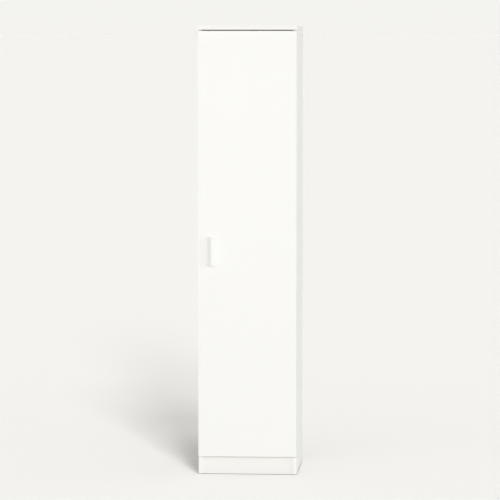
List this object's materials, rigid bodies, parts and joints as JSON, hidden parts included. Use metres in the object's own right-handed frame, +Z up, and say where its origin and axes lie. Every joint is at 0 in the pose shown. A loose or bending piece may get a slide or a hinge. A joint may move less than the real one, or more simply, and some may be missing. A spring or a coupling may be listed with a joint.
{
  "type": "broom cupboard",
  "caption": "Tall narrow broom cupboard with a full overlay door on hidden hinges, trapezoid pull, recessed plinth and hat shelf",
  "frame": {"origin": "centre of the overall bounding box's bottom face, on the floor", "axes": "+Z up; the door faces -Y; +X is the viewer's right, the hinge side"},
  "size_m": [0.404, 0.4948, 1.824],
  "materials": {
    "carcass_board": "white melamine coated chipboard, fine matt grain",
    "door_board": "white melamine coated chipboard, smooth satin",
    "back_board": "thin hardboard, printed white inside, raw brown outside",
    "white_plastic": "moulded",
    "handle_plastic": "moulded, satin gloss",
    "beech": "fluted beech",
    "buffer": "soft translucent",
    "magnet": "ferrite",
    "cam_zinc": "zinc die cast",
    "hook_steel": "bright plated",
    "plated_steel": "zinc plated",
    "hinge_steel": "nickel plated pressed steel",
    "bracket_steel": "zinc plated"
  },
  "bodies": {
    "carcass": {"side_panel_left": "carcass_board", "side_panel_right": "carcass_board", "top_panel": "carcass_board", "base_panel": "carcass_board", "plinth_board": "carcass_board", "fixed_shelf": "carcass_board", "hook_rail": "carcass_board", "back_panel_lower": "back_board", "back_panel_upper": "back_board", "back_joining_strip": "white_plastic", "back_nails": "plated_steel", "cam_locks": "cam_zinc", "cam_bolts": "plated_steel", "wood_dowels": "beech", "cam_caps": "white_plastic", "floor_glides": "white_plastic", "hook_screws": "plated_steel", "broom_hook_left": "hook_steel", "broom_hook_middle": "hook_steel", "broom_hook_right": "hook_steel", "wall_bracket_screws": "plated_steel", "wall_bracket": "bracket_steel", "catch_screws": "plated_steel", "catch_housing": "white_plastic", "catch_magnet": "magnet", "hinge_arm_screws": "plated_steel", "hinge_plate_screws": "plated_steel", "hinge_arm_bottom": "hinge_steel", "hinge_plate_bottom": "hinge_steel", "hinge_arm_middle": "hinge_steel", "hinge_plate_middle": "hinge_steel", "hinge_arm_top": "hinge_steel", "hinge_plate_top": "hinge_steel"},
    "door": {"door_panel": "door_board", "door_handle": "handle_plastic", "handle_screws": "plated_steel", "hinge_cup_screws": "plated_steel", "strike_plate": "bracket_steel", "strike_screw": "plated_steel", "door_buffers": "buffer", "hinge_cup_bottom": "hinge_steel", "hinge_pin_bottom": "hinge_steel", "hinge_cup_middle": "hinge_steel", "hinge_pin_middle": "hinge_steel", "hinge_cup_top": "hinge_steel", "hinge_pin_top": "hinge_steel"}
  },
  "joints": [
    {"name": "door_hinge", "type": "hinge", "parent": "carcass", "child": "door", "pos_m": [0.1923, -0.2152, 0.94], "axis": [0, 0, 1], "range_deg": [0, 100]}
  ]
}
